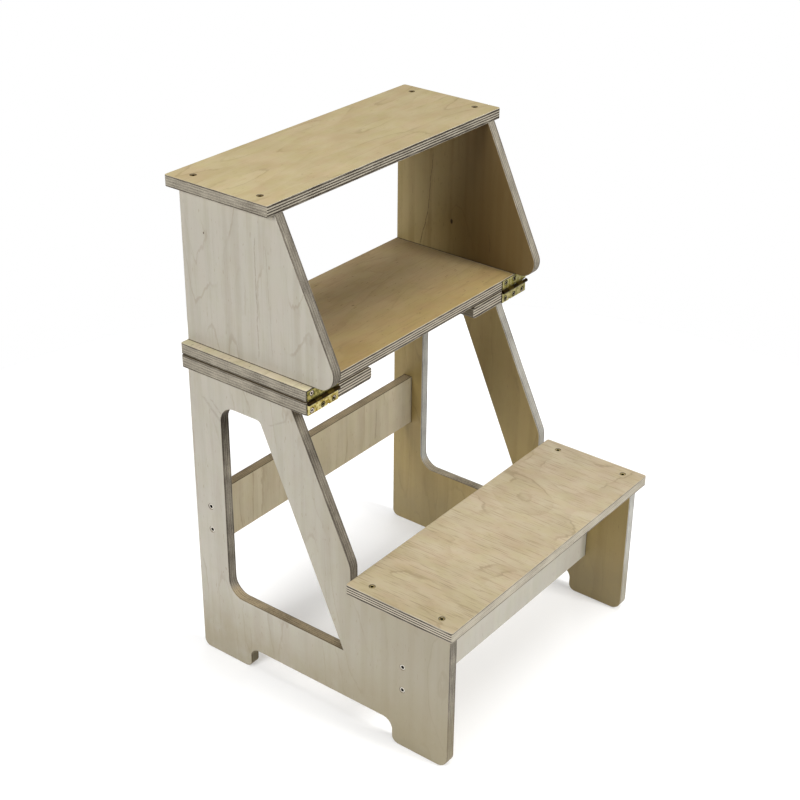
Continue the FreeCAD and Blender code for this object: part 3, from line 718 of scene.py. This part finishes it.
@dataclass(frozen=True)
class HingeBrass:
    """Rolled brass, dulled: olive yellow faces, edges and knuckles in painted shade, edges grimy.

    Attributes:
        name: The material's name.
        clean: Its brightest tone.
        dull: Its dull tone.
        barrel_shade: The tone of its knuckles, dark as painted shade.
        heat: Strength of the orange patches.
        axis_y: The hinge axis' Y, in millimetres.
        axis_z: The hinge axis' Z, in millimetres.
        middle_x: How far the hinge's middle is from the stool's, in millimetres.
        pitch: Distance between two screws, in millimetres.
        rise: Height of the screws over the axis, in millimetres.
    """

    name: str
    clean: str
    dull: str
    barrel_shade: str
    heat: float
    axis_y: float = -1.0
    axis_z: float = 461.7
    middle_x: float = 205.5
    pitch: float = 20.4
    rise: float = 11.8

    DIRT_AND_SHADE_BROWN = "2A2012"
    ORANGE = "A88A18"
    TARNISH = Mottle((6.0, 6.0, 5.0), detail=3.0, roughness=0.6, rise=(0.38, 0.66))
    HEAT = Mottle((9.0, 7.0, 1.0), 4.2, rise=(0.54, 0.64))
    # The rolling marks are hair fine: drawn half a millimetre apart
    ROLLING = Mottle((14.0, 0.5, 0.5))
    # How far off the axis the knuckles' painted shade begins to end and has ended, and where
    # the leaf's cut edges, grimy and in painted shade, begin and are full, in millimetres
    KNUCKLE = (2.7, 3.3)
    CUT = (3.0, 3.6)
    CUT_SHARE = 0.92
    # How far the normal lies along Y where a cut edge ends and a face begins
    FACING = (0.3, 0.7)
    # How far off a screw's middle the grime and painted shadow round it are full and have
    # ended, in millimetres
    RING_DIRT_AND_SHADOW = (3.5, 4.5)
    RING_DIRT_AND_SHADOW_SHARE = 0.9
    # Over which values of the tarnish the roughness goes from the third to the fourth
    POLISH = (0.3, 0.75, 0.38, 0.55)
    RELIEF = {"Strength": 0.15, "Distance": 0.0001}

    def make(self) -> bpy.types.Material:
        """Build the material.

        Returns:
            The material.
        """
        material, add = new_material(self.name)
        point, (x, y, z), normal = surface(add)
        away = add("VectorMath", (add("CombineXYZ", (0.0, y, z)),
                                  (0.0, self.axis_y, self.axis_z)), operation="DISTANCE")
        colour = add("Mix", {0: self.TARNISH.spots(add, point), 6: self.clean, 7: self.dull},
                     **COLOUR)
        beside = add("Math", (x,), operation="ABSOLUTE")
        beside = add("Math", (beside, self.middle_x), operation="SUBTRACT")
        beside = add("Math", (beside, self.pitch / 2, -self.pitch / 2), operation="WRAP")
        above = add("Math", (z, self.axis_z), operation="SUBTRACT")
        above = add("Math", (above,), operation="ABSOLUTE")
        above = add("Math", (above, self.rise), operation="SUBTRACT")
        radius = add("VectorMath", (add("CombineXYZ", (beside, above)),), operation="LENGTH")
        sawn = add("Math", (normal[Axis.Y.value],), operation="ABSOLUTE")
        sawn = add("MapRange", (sawn, *self.FACING, *FALLING), **SMOOTH)
        cut = add("MapRange", (away, *self.CUT, 0.0, self.CUT_SHARE), **SMOOTH)
        # Orange patches; screw rings and cut edges grimy and in painted shade; knuckles painted
        # dark
        for share, tone in (
                (self.HEAT.spots(add, add("CombineXYZ", (x, z)), 0.0, self.heat), self.ORANGE),
                (add("MapRange", (radius, *self.RING_DIRT_AND_SHADOW, self.RING_DIRT_AND_SHADOW_SHARE, 0.0), **SMOOTH),
                 self.DIRT_AND_SHADE_BROWN),
                (add("Math", (sawn, cut), operation="MULTIPLY"), self.DIRT_AND_SHADE_BROWN),
                (add("MapRange", (away, *self.KNUCKLE, *FALLING), **SMOOTH), self.barrel_shade)):
            colour = add("Mix", {0: share, 6: colour, 7: tone}, **COLOUR)
        bump = add("Bump", {**self.RELIEF, "Height": self.ROLLING.at(add, point)})
        roughness = add("MapRange", (self.TARNISH.at(add, point), *self.POLISH), **SMOOTH)
        add("OutputMaterial", (add("BsdfPrincipled", {
            "Base Color": colour, "Roughness": roughness, "Normal": bump, "Metallic": 1.0}),))
        return material


@dataclass(frozen=True)
class ScrewMetal:
    """Plated screw steel: satin head, socket painted in shade, rim gap grimy and in painted shadow.

    Attributes:
        name: The material's name.
        light: The head's lighter tone.
        dark: Its darker tone.
        axis: The axis along which the screws stand.
        head: Where the heads' faces lie on that axis, in millimetres.
        way: 1 where the heads look along the axis, -1 where they look against it.
        spots: For the two other axes, the middle of the screws' places and how far they lie
            to both sides of it, in millimetres.
        row: Distance between the screws of a row of three along X, or 0.
        socket: Radius of the middle painted dark as shade, in millimetres.
        rim: Radius where the dark rim, grimy and in painted shadow, begins, in millimetres.
        rims: How dark the rim is on the stool's left and on its right.
        bright: Places along X where the heads are still bright.
        roughness: The head's mean roughness.
    """

    name: str
    light: str
    dark: str
    axis: Axis
    head: float
    way: int
    spots: tuple[tuple[float, float], tuple[float, float]] = ((0.0, 0.0), (0.0, 0.0))
    row: float = 0.0
    socket: float = 2.1
    rim: float = 3.3
    rims: tuple[float, float] = (0.8, 0.8)
    bright: tuple[float, ...] = ()
    roughness: float = 0.45

    HOLLOW_SHADE = "15110C"
    HOLLOW_ROUGHNESS = 0.8
    SCUFFS = Mottle((1.8, 1.8, 1.8), detail=3.0, roughness=0.6, rise=(0.35, 0.7))
    # How far off its radius the socket, and the rim, begin and are full, in millimetres
    SOCKET_EDGE = (-0.2, 0.2)
    RIM_EDGE = (-0.15, 0.25)
    # How far below the head's face painted shade comes up, and how far off the middle it ends
    BELOW = (0.08, 0.3)
    BELOW_EDGE = (3.2, 3.4)
    # Between which places along X the left's rims give way to the right's
    SIDES = (-30.0, 30.0)
    # How far from a bright head's middle the dulling begins and is full, in millimetres,
    # and up to which scuffs it darkens the others
    BRIGHT = (5.0, 7.0)
    DULLED = (0.0, 0.35)
    RELIEF = {"Strength": 0.2, "Distance": 0.0001}

    def make(self) -> bpy.types.Material:
        """Build the material.

        Returns:
            The material.
        """
        material, add = new_material(self.name)
        point, place, _ = surface(add)
        x = place[Axis.X.value]
        flat = []
        for axis, (centre, half) in zip((axis for axis in Axis if axis is not self.axis),
                                        self.spots):
            aside = add("Math", (place[axis.value], centre), operation="SUBTRACT")
            aside = add("Math", (aside,), operation="ABSOLUTE")
            flat.append(add("Math", (aside, half), operation="SUBTRACT"))
        if self.row:
            flat[0] = add("Math", (flat[0], self.row / 2, -self.row / 2), operation="WRAP")
        away = add("VectorMath", (add("CombineXYZ", flat),), operation="LENGTH")
        below = add("Math", (place[self.axis.value], float(-self.way), self.head * self.way),
                    operation="MULTIPLY_ADD")
        # Painted shade in the socket and below the head's face; grime and painted shadow in the rim
        rim = (self.rim + step for step in self.RIM_EDGE)
        dirt_and_shade = add("Math", (add("MapRange", (away, *rim), **SMOOTH),
                            add("MapRange", (x, *self.SIDES, *self.rims), **SMOOTH)),
                   operation="MULTIPLY")
        socket = (self.socket + step for step in self.SOCKET_EDGE)
        inside = add("MapRange", (away, *socket, *FALLING), **SMOOTH)
        deep = add("Math", (add("MapRange", (below, *self.BELOW), **SMOOTH),
                            add("MapRange", (away, *self.BELOW_EDGE, *FALLING), **SMOOTH)),
                   operation="MULTIPLY")
        hollow_shade = add("Math", (inside, dirt_and_shade), operation="MAXIMUM")
        hollow_shade = add("Math", (deep, hollow_shade), operation="MAXIMUM")
        tone = self.SCUFFS.spots(add, point)
        for spot_x in self.bright:
            aside = add("Math", (x, spot_x), operation="SUBTRACT")
            aside = add("Math", (aside,), operation="ABSOLUTE")
            dulled = add("MapRange", (aside, *self.BRIGHT), **SMOOTH)
            tone = add("Math", (tone, dulled), operation="MULTIPLY")
        if self.bright:
            tone = add("MapRange", (tone, *self.DULLED), **SMOOTH)
        colour = add("Mix", {0: tone, 6: self.light, 7: self.dark}, **COLOUR)
        colour = add("Mix", {0: hollow_shade, 6: colour, 7: self.HOLLOW_SHADE}, **COLOUR)
        roughness = add("MapRange", (hollow_shade, 0.0, 1.0, self.roughness, self.HOLLOW_ROUGHNESS),
                        **SMOOTH)
        bump = add("Bump", {**self.RELIEF, "Height": self.SCUFFS.at(add, point)})
        add("OutputMaterial", (add("BsdfPrincipled", {
            "Base Color": colour, "Roughness": roughness, "Normal": bump, "Metallic": 1.0}),))
        return material


@dataclass(frozen=True)
class Felt:
    """Pressed wool felt, matt and slightly fuzzy."""

    name: str = "grey wool felt"
    light: str = "6A645A"
    dark: str = "4C473F"
    roughness: float = 0.95
    fuzz: float = 0.3

    TUFTS = Mottle((1.0, 1.0, 1.0), detail=4.0, roughness=0.7)
    RELIEF = {"Strength": 0.6, "Distance": 0.0004}

    def make(self) -> bpy.types.Material:
        """Build the material.

        Returns:
            The material.
        """
        material, add = new_material(self.name)
        point, _, _ = surface(add)
        tone = self.TUFTS.spots(add, point)
        colour = add("Mix", {0: tone, 6: self.light, 7: self.dark}, **COLOUR)
        bump = add("Bump", {**self.RELIEF, "Height": self.TUFTS.at(add, point)})
        add("OutputMaterial", (add("BsdfPrincipled", {
            "Base Color": colour, "Roughness": self.roughness, "Normal": bump,
            "Sheen Weight": self.fuzz}),))
        return material


# Painted light and shade: one veneer, pale on the lit outer faces, warm and darker on shaded ones
PALE_LIT = ("AAA599", "969081")
WARM_SHADED = ("AB986A", "917C4E")
BROWN = "F5E8D0"
# How far in from a board's edges the walls of its screw holes begin, in millimetres
BORE_MARGIN = 6.0
# How wide the painted shade in the seam is at a board's ends and along its edges, in millimetres
END_RIM = 5.0
EDGE_RIM = 3.0


def seam_shade_rim(board: str, side: int) -> tuple[Joint, ...]:
    """Find the rim of painted shade on a board's face in the seam between the two units.

    Args:
        board: The board's CAD node.
        side: Which of its faces is in the seam, as for a knot.

    Returns:
        The rim at the two ends and along the two edges.
    """
    box = measure(board)
    length, width = box[Axis.X], box[Axis.Y]
    return (*(Joint((end - END_RIM, end + END_RIM), width, side) for end in length),
            *(Joint(length, (edge - EDGE_RIM, edge + EDGE_RIM), side) for edge in width))


@dataclass
class UpperUnit:
    """The part that swings over: two steps on two slanted panels."""

    steps: tuple[str, str] = ("middle_step_board", "top_step_board")
    panels: tuple[str, str] = ("upper_right_side_panel", "upper_left_side_panel")

    def dress(self) -> None:
        """Give the boards and the panels their veneers."""
        boxes = [measure(panel) for panel in self.panels]
        feet = [(box[Axis.X], box[Axis.Y]) for box in boxes]
        ends = tuple(Joint(measure(step)[Axis.Z], boxes[0][Axis.Y], side)
                     for side in (1, -1) for step in self.steps)
        veneers = (
            BirchPlywood("birch plywood, top step", "top_step_board", Axis.X, Axis.Z, seed=1.3,
                         back_tones=WARM_SHADED, blotches=0.9, lines=0.75, fibres=0.35, dashes=0.1,
                         edge_tone=0.25, bored=BORE_MARGIN,
                         joints=tuple(Joint(*foot, -1) for foot in feet)),
            BirchPlywood("birch plywood, middle step", "middle_step_board", Axis.X, Axis.Z,
                         seed=6.8, front_tones=("D0C7AC", "B8AC8E"), blotches=0.9, lines=0.6,
                         # Painted shade under the top step, greyer towards the rear
                         fibres=0.35, flecks=0.8, dashes=0.22, shade_tints=("C4B28C", "C6B8A3"),
                         joints=tuple(Joint(*foot) for foot in feet)
                         + seam_shade_rim("middle_step_board", -1)),
            BirchPlywood("birch plywood, upper left panel", "upper_left_side_panel", Axis.Z,
                         Axis.X, seed=11.2, front_tones=WARM_SHADED, back_tones=PALE_LIT, streaks=0.5,
                         blotches=0.35, stripes=0.15, edge_tone=0.62, joints=ends,
                         fibres=0.25, lines=0.6, knots=(Knot(633.0, 171.0, 0.9, 0.4, -1),),
                         grain_lines=(
                             GrainLine((490.0, 88.0), (650.0, 88.0), 0.35, 1.2, -1),
                             GrainLine((500.0, 66.0), (640.0, 70.0), 0.2, 1.0, -1))),
            BirchPlywood("birch plywood, upper right panel", "upper_right_side_panel", Axis.Z,
                         # Its inner face's warm, dark tones are painted shade
                         Axis.X, seed=15.9, front_tones=PALE_LIT, back_tones=("B2A070", "978253"),
                         streaks=0.8, blotches=0.4, stripes=0.3, edge_tone=0.4, joints=ends,
                         # Painted shade on its inner face, darker towards the front
                         fibres=0.25, forward_shade=(0.0, 0.95), forward_shade_tone="6B5328",
                         forward_shade_fade=(50.0, 150.0), lines=0.7,
                         knots=(Knot(529.0, 111.4, 2.2, 0.8, -1),),
                         grain_lines=(
                             GrainLine((481.0, 166.4), (535.0, 153.0), 0.85, 1.0, -1),
                             GrainLine((535.0, 153.0), (622.0, 146.0), 0.6, 0.9, -1),
                             GrainLine((500.0, 44.0), (527.0, 47.0), 0.5, 0.9, -1))))
        for veneer in veneers:
            dress(veneer.board, veneer.make())


@dataclass
class Base:
    """The part that stands: low step, seat board, two panels, stretcher and rail.

    Attributes:
        panels: The side panels' CAD nodes.
        bars: Those of what is screwed between them.
        panel_top: Where the panels begin under the seat board, in millimetres.
        shelf: Where the low step stands on the panels: the heights of its dark line, dusty and
        in painted shadow, and its reach from front to rear, in millimetres.
    """

    panels: tuple[str, str] = ("base_right_side_panel", "base_left_side_panel")
    bars: tuple[str, str] = ("rear_stretcher", "front_rail")
    panel_top: float = 36.0
    shelf: tuple[Reach, Reach] = ((208.0, 215.0), (-215.0, -53.0))

    def dress(self) -> None:
        """Give the boards and the panels their veneers, and the seam its felt pads."""
        feet = [(measure(panel)[Axis.X], measure(panel)[Axis.Y]) for panel in self.panels]
        cream, grey = ("ADA288", "988D73"), ("AFAB9F", "A29E90")
        veneers = (
            BirchPlywood("birch plywood, low step", "low_step_board", Axis.Y, Axis.Z, seed=21.4,
                         front_tones=("A79B82", "94866A"), blotches=0.9, end_tone=0.3,
                         figure=(130.0, 110.0), lines=1.2, dashes=0.5, fibres=0.45,
                         # Painted shade: a little darker towards the left end
                         shade_tints=("EEEDE7", WHITE), fade=(-230.0, -20.0), span=400.0,
                         bored=BORE_MARGIN,
                         joints=tuple(Joint(depth, foot, -1) for foot, depth in feet)),
            BirchPlywood("birch plywood, seat board", "seat_board", Axis.X, Axis.Z, seed=27.7,
                         joints=tuple(Joint(foot, (self.panel_top, rear), -1)
                                      for foot, (_, rear) in feet) + seam_shade_rim("seat_board", 1)),
            self._side_panel(1, BirchPlywood(
                "birch plywood, base left panel", "base_left_side_panel", Axis.Z, Axis.X,
                # Painted shade on its outer face, darker towards the front
                seed=31.1, front_tones=WARM_SHADED, back_tones=PALE_LIT, edge_tone=0.62, forward_shade=(0.0, 0.6),
                grain_lines=(GrainLine((374.0, 156.0), (404.0, 188.0), 0.2, 5.5, -1),
                             GrainLine((388.0, 157.0), (404.0, 174.0), 0.2, 4.0, -1),
                             GrainLine((400.0, 75.0), (416.0, 48.0), 0.16, 4.0, -1),
                             GrainLine((414.0, 49.0), (435.0, 41.0), 0.15, 3.0, -1)))),
            self._side_panel(-1, BirchPlywood(
                "birch plywood, base right panel", "base_right_side_panel", Axis.Z, Axis.X,
                # Its inner face's warm, dark tones are painted shade
                seed=36.5, front_tones=PALE_LIT, back_tones=("A9945F", "8F7945"), edge_tone=0.27,
                long_grain="BAB8B0")),
            BirchPlywood("birch plywood, stretcher", "rear_stretcher", Axis.Z, Axis.Y,
                         seed=41.9, front_tones=cream, back_tones=cream, streaks=0.4,
                         fibres=0.3, end_tone=0.45, end_tint=BROWN,
                         grain_lines=(GrainLine((190.0, 118.0), (240.0, 122.0), 0.5, 1.2,
                                                -1),)),
            BirchPlywood("birch plywood, rail", "front_rail", Axis.Z, Axis.Y, seed=47.2,
                         front_tones=grey, back_tones=grey, lines=0.2, dashes=0.0,
                         streaks=0.3))
        for veneer in veneers:
            dress(veneer.board, veneer.make())
        dress("seam_pads", Felt().make())

    def _side_panel(self, inside: int, veneer: BirchPlywood) -> BirchPlywood:
        """Add what both side panels have: feet soiled and in painted shade, brown end grain,
        joints.

        Args:
            inside: Which face looks at the other panel: 1 or -1.
            veneer: What is the panel's own.

        Returns:
            The whole veneer.
        """
        top = (measure("seat_board")[Axis.Z], measure(veneer.board)[Axis.Y])
        boards = tuple(Joint(*place, side) for side in (1, -1) for place in (top, self.shelf))
        bars = tuple(Joint(measure(bar)[Axis.Z], measure(bar)[Axis.Y], inside)
                     for bar in self.bars)
        return replace(veneer, streaks=0.4, blotches=0.4, stripes=0.15, end_tone=0.56,
                       end_tint=BROWN, soil_and_shade=130.0, fibres=0.25, lines=0.6, joints=boards + bars)


@dataclass
class Fittings:
    """The hinges and the screws.

    Attributes:
        panel: The CAD node that the right board screws stand over.
        bar_screws: How far the bars' screws lie above and below the bars' middle, in
            millimetres.
    """

    panel: str = "upper_right_side_panel"
    bar_screws: float = 18.0

    def dress(self) -> None:
        """Give hinges and screws their metals."""
        self._dress_board_screws()
        self._dress_bar_screws()
        self._dress_hinges()

    def _dress_board_screws(self) -> None:
        """Give the screws of the boards their zinc, dull and dirty."""
        columns = (0.0, middle(measure(self.panel)[Axis.X]))
        hidden = ("8A7448", "5A4826")
        for board, way, places, tones, rims in (
                ("top_board", 1, (137.0, 53.5), ("9C8654", "665028"), (0.6, 0.2)),
                ("low_board", 1, (-136.5, 54.0), ("BEAE7C", "665A32"), (0.85, 0.3)),
                ("seat_board", 1, (121.0, 60.0), hidden, (0.7, 0.7)),
                ("middle_board", -1, (105.75, 75.25), hidden, (0.7, 0.7))):
            low, high = measure(f"{board}_screws")[Axis.Z]
            finish = ScrewMetal(f"zinc plated steel, {board} screws", *tones, Axis.Z,
                                high if way > 0 else low, way, (columns, places), rims=rims,
                                roughness=0.7)
            dress(f"{board}_screws", finish.make())

    def _dress_bar_screws(self) -> None:
        """Give the screws of the stretcher and the rail their zinc, clean and bright."""
        for side, way in (("left", -1), ("right", 1)):
            for bar, name, rim in (("rear_stretcher", "stretcher", 0.25),
                                   ("front_rail", "rail", 0.75)):
                low, high = measure(f"{side}_{name}_screws")[Axis.X]
                box = measure(bar)
                places = ((middle(box[Axis.Y]), 0.0), (middle(box[Axis.Z]), self.bar_screws))
                finish = ScrewMetal(f"zinc plated steel, {side} {name} screws", "EDE8DE",
                                    "CFC8BA", Axis.X, high if way > 0 else low, way, places,
                                    socket=2.5, rim=3.4, rims=(rim, rim))
                dress(f"{side}_{name}_screws", finish.make())

    def _dress_hinges(self) -> None:
        """Give leaves, pins and hinge screws their metals."""
        head, _ = measure("left_hinge_upper_screws")[Axis.Y]
        plated = ScrewMetal("nickel plated hinge screw", "F6EADC", "6E6630", Axis.Y, head, -1,
                            ((0.0, HingeBrass.middle_x), (HingeBrass.axis_z, HingeBrass.rise)),
                            HingeBrass.pitch, socket=1.7, rim=2.8,
                            bright=(-HingeBrass.middle_x - HingeBrass.pitch,)).make()
        pin = ScrewMetal("browned steel pin", "4A3A20", "2A2012", Axis.Y, -50.0, -1).make()
        # One brass on all four leaves; their tones and knuckles differ as painted light and shade
        leaves = {("left", "upper"): ("B8AE6A", "6E6A2E", "4E4119", 0.15),
                  ("left", "lower"): ("E9DFA0", "A48F34", "2E220E", 0.9),
                  ("right", "upper"): ("E8DE9E", "A89C40", "5E4E1E", 0.1),
                  ("right", "lower"): ("DCD092", "9C9650", "3A2C12", 0.1)}
        for (side, level), (clean, dull, barrel_shade, heat) in leaves.items():
            dress(f"{side}_hinge_{level}_leaf",
                  HingeBrass(f"dulled brass, {side} {level} leaf", clean, dull, barrel_shade,
                             heat).make())
            dress(f"{side}_hinge_{level}_screws", plated)
        for side in ("left", "right"):
            dress(f"{side}_hinge_pin", pin)


@dataclass
class Studio:
    """Pale floor, soft white lights and the camera at the photograph's angle.

    Attributes:
        camera_place: Where the camera stands, in metres.
        azimuth: How far it is turned about Z, in degrees.
        elevation: How far it looks down, in degrees.
        roll: How far it leans, in degrees.
        focal_pixels: Its focal length, in pixels of the photograph.
        axis_x: Where its axis meets the photograph from the left, in pixels.
        axis_y: The same from the top.
        frame_pixels: The photograph's edge, in pixels.
        sensor: The sensor's edge, in millimetres.
        ambient: How strong the white surroundings are as a light.
        aim: What the soft boxes look at, in metres.
        soft_boxes: For each, its side, its place and its edge in metres and its power in watts.
        ceiling: Strength of the wide light from above, in watts per square metre, and the
            angle it comes from, in degrees.
        tilt: How far that light leans about X and about Y, in degrees.
        floor_radius: The floor's radius, in metres.
        floor_gap: How far under the feet it lies, in metres.
        floor_tone: Its colour.
        floor_glow: How strongly it is lit through.
    """

    camera_place: tuple[float, float, float] = (-1.4509, -1.0721, 1.3511)
    azimuth: float = -53.928
    elevation: float = 28.395
    roll: float = 1.246
    focal_pixels: float = 1546.845
    axis_x: float = 433.944
    axis_y: float = 394.995
    frame_pixels: float = 800.0
    sensor: float = 36.0
    ambient: float = 0.07
    aim: tuple[float, float, float] = (0.0, 0.0, 0.35)
    soft_boxes: tuple[tuple[str, tuple[float, float, float], float, float], ...] = (
        ("left", (-1.7, 0.25, 1.25), 0.8, 30.0),
        ("front", (0.45, -2.65, 2.3), 0.9, 96.0),
        ("rear", (1.7, 1.0, 0.25), 0.5, 12.0))
    ceiling: tuple[float, float] = (2.0, 40.0)
    tilt: tuple[float, float] = (4.0, 6.0)
    floor_radius: float = 1.1
    floor_gap: float = 0.0006
    floor_tone: str = "CCCCCC"
    floor_glow: float = 0.4

    def place_camera(self) -> None:
        """Stand the camera where the photograph was taken from."""
        data = bpy.data.cameras.new("camera")
        data.sensor_width = self.sensor
        data.lens = self.focal_pixels / self.frame_pixels * self.sensor
        data.shift_x = 0.5 - self.axis_x / self.frame_pixels
        data.shift_y = self.axis_y / self.frame_pixels - 0.5
        data.clip_end = 60.0
        camera = bpy.data.objects.new("camera", data)
        bpy.context.scene.collection.objects.link(camera)
        turn, tilt = math.radians(self.azimuth), math.radians(self.elevation)
        ahead = Vector((-math.sin(turn) * math.cos(tilt), math.cos(turn) * math.cos(tilt),
                        -math.sin(tilt)))
        right = ahead.cross(Vector((0, 0, 1))).normalized()
        up = right.cross(ahead)
        lean = math.radians(self.roll)
        across = right * math.cos(lean) + up * math.sin(lean)
        upward = up * math.cos(lean) - right * math.sin(lean)
        turned = Matrix((across, upward, -ahead)).transposed().to_4x4()
        camera.matrix_world = Matrix.Translation(Vector(self.camera_place)) @ turned
        bpy.context.scene.camera = camera

    def add_soft_box(self, side: str, place: tuple[float, float, float], size: float,
                     power: float) -> None:
        """Add a white soft box that looks at the middle of the stool.

        Args:
            side: Where it hangs, for its name.
            place: Its place, in metres.
            size: Its edge, in metres.
            power: Its power, in watts.
        """
        data = bpy.data.lights.new(f"soft box, {side}", "AREA")
        data.shape = "SQUARE"
        data.size = size
        data.energy = power
        light = bpy.data.objects.new(data.name, data)
        bpy.context.scene.collection.objects.link(light)
        light.location = Vector(place)
        towards = Vector(self.aim) - light.location
        light.rotation_euler = towards.to_track_quat("-Z", "Y").to_euler()
        light.visible_camera = False

    def add_ceiling(self) -> None:
        """Add the wide white light from above that makes the floor evenly white."""
        strength, spread = self.ceiling
        data = bpy.data.lights.new("white ceiling", "SUN")
        data.energy = strength
        data.angle = math.radians(spread)
        light = bpy.data.objects.new("white ceiling", data)
        bpy.context.scene.collection.objects.link(light)
        light.rotation_euler = (math.radians(self.tilt[0]), math.radians(self.tilt[1]), 0.0)

    def light(self) -> None:
        """Set the white surroundings, dim as a light, and the soft lights."""
        world = bpy.data.worlds.new("studio")
        world.use_nodes = True
        add = partial(add_node, world.node_tree)
        rays = add("LightPath").outputs["Is Camera Ray"]
        strength = add("MapRange", {0: rays, 3: self.ambient, 4: 1.0})
        background = world.node_tree.nodes["Background"]
        background.inputs["Color"].default_value = linear(WHITE)
        world.node_tree.links.new(strength.outputs[0], background.inputs["Strength"])
        bpy.context.scene.world = world
        self.add_ceiling()
        for soft_box in self.soft_boxes:
            self.add_soft_box(*soft_box)
        bpy.context.scene.view_settings.view_transform = "Standard"
        log.info("studio lit")

    def lay_floor(self) -> None:
        """Lay a round pale floor under the feet, softly lit through from below."""
        bpy.ops.object.select_all(action="DESELECT")
        bpy.ops.mesh.primitive_circle_add(vertices=96, radius=self.floor_radius,
                                          fill_type="NGON",
                                          location=(0.0, 0.0, -self.floor_gap))
        floor = bpy.context.object
        floor.name = "studio_floor"
        material, add = new_material("matt white floor")
        add("OutputMaterial", (add("BsdfPrincipled", {
            "Base Color": self.floor_tone, "Roughness": 0.9, "Emission Color": WHITE,
            "Emission Strength": self.floor_glow}),))
        floor.data.materials.append(material)


def main() -> None:
    """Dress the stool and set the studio."""
    studio = Studio()
    studio.place_camera()
    UpperUnit().dress()
    Base().dress()
    Fittings().dress()
    studio.light()
    studio.lay_floor()


if __name__ == "__main__":
    main()
